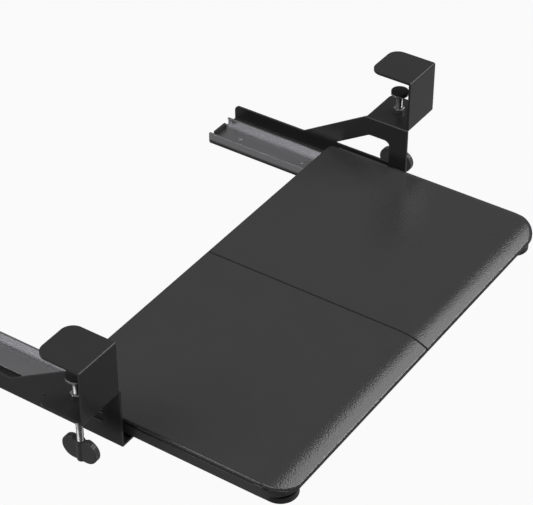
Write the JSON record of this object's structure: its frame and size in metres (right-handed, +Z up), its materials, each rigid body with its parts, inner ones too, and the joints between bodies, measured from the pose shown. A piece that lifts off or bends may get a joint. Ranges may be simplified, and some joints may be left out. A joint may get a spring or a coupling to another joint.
{
  "type": "keyboard tray",
  "caption": "Sliding keyboard tray that hangs under a desk from screw clamps, with a rounded sloping front edge, drawn out",
  "frame": {"origin": "the desk's top front edge, midway between the two clamps", "axes": "+X along the desk's front edge to the right of a seated user, +Y away from the user under the desk, +Z up"},
  "size_m": [0.7074, 0.4565, 0.1545],
  "materials": {
    "bracket": "satin black powder coat",
    "hook_pad": "matte black",
    "plated_steel": "zinc plated",
    "clamp_screw": "zinc plated thread",
    "rubber": "matte black",
    "wing_knob": "matte black, fine grain",
    "slide_steel": "zinc plated sheet",
    "rivet": "plain steel",
    "cage": "plated spring steel",
    "ball": "polished",
    "panel": "charcoal, pebble grain",
    "side_beam": "black, fine grain",
    "tray_screw": "zinc plated",
    "foot": "matte black",
    "joining_plate": "satin black",
    "dowel": "plain"
  },
  "bodies": {
    "clamps": {"left_bracket": "bracket", "left_hook_pad": "hook_pad", "left_clamp_nut": "plated_steel", "left_slide_outer": "slide_steel", "left_slide_rivets": "rivet", "left_slide_stop": "rubber", "right_bracket": "bracket", "right_hook_pad": "hook_pad", "right_clamp_nut": "plated_steel", "right_slide_outer": "slide_steel", "right_slide_rivets": "rivet", "right_slide_stop": "rubber"},
    "tray": {"front_joining_plate": "joining_plate", "rear_joining_plate": "joining_plate", "joining_screws": "tray_screw", "seam_dowels": "dowel", "left_panel": "panel", "left_side_beam": "side_beam", "left_slide_inner": "slide_steel", "left_slide_screws": "tray_screw", "left_beam_screws": "tray_screw", "left_front_foot": "foot", "left_foot_screw": "tray_screw", "right_panel": "panel", "right_side_beam": "side_beam", "right_slide_inner": "slide_steel", "right_slide_screws": "tray_screw", "right_beam_screws": "tray_screw", "right_front_foot": "foot", "right_foot_screw": "tray_screw"},
    "left_cage": {"left_slide_cage": "cage", "left_slide_balls": "ball"},
    "left_presser": {"left_pressure_cup": "plated_steel", "left_pressure_pad": "rubber"},
    "left_screw": {"left_clamp_screw": "clamp_screw", "left_wing_knob": "wing_knob"},
    "right_cage": {"right_slide_cage": "cage", "right_slide_balls": "ball"},
    "right_presser": {"right_pressure_cup": "plated_steel", "right_pressure_pad": "rubber"},
    "right_screw": {"right_clamp_screw": "clamp_screw", "right_wing_knob": "wing_knob"}
  },
  "joints": [
    {"name": "tray_slide", "type": "slide", "parent": "clamps", "child": "tray", "axis": [0, 1, 0], "range_m": [0, 0.153]},
    {"name": "left_cage_slide", "type": "slide", "parent": "clamps", "child": "left_cage", "axis": [0, 1, 0], "range_m": [0, 0.0765]},
    {"name": "left_screw_lift", "type": "slide", "parent": "clamps", "child": "left_presser", "axis": [0, 0, 1], "range_m": [-0.01375, 0.02375]},
    {"name": "left_screw_turn", "type": "hinge", "parent": "left_presser", "child": "left_screw", "pos_m": [-0.3239, 0.0285, -0.0396], "axis": [0, 0, 1], "range_deg": [-3960.01, 6840.01]},
    {"name": "right_cage_slide", "type": "slide", "parent": "clamps", "child": "right_cage", "axis": [0, 1, 0], "range_m": [0, 0.0765]},
    {"name": "right_screw_lift", "type": "slide", "parent": "clamps", "child": "right_presser", "axis": [0, 0, 1], "range_m": [-0.01375, 0.02375]},
    {"name": "right_screw_turn", "type": "hinge", "parent": "right_presser", "child": "right_screw", "pos_m": [0.3239, 0.0285, -0.0396], "axis": [0, 0, 1], "range_deg": [-3960.01, 6840.01]}
  ],
  "couplings": [
    {"joint": "left_cage_slide", "follows": "tray_slide", "ratio": 0.5},
    {"joint": "left_screw_turn", "follows": "left_screw_lift", "rad_per_m": 5026.5},
    {"joint": "right_cage_slide", "follows": "tray_slide", "ratio": 0.5},
    {"joint": "right_screw_turn", "follows": "right_screw_lift", "rad_per_m": 5026.5}
  ]
}
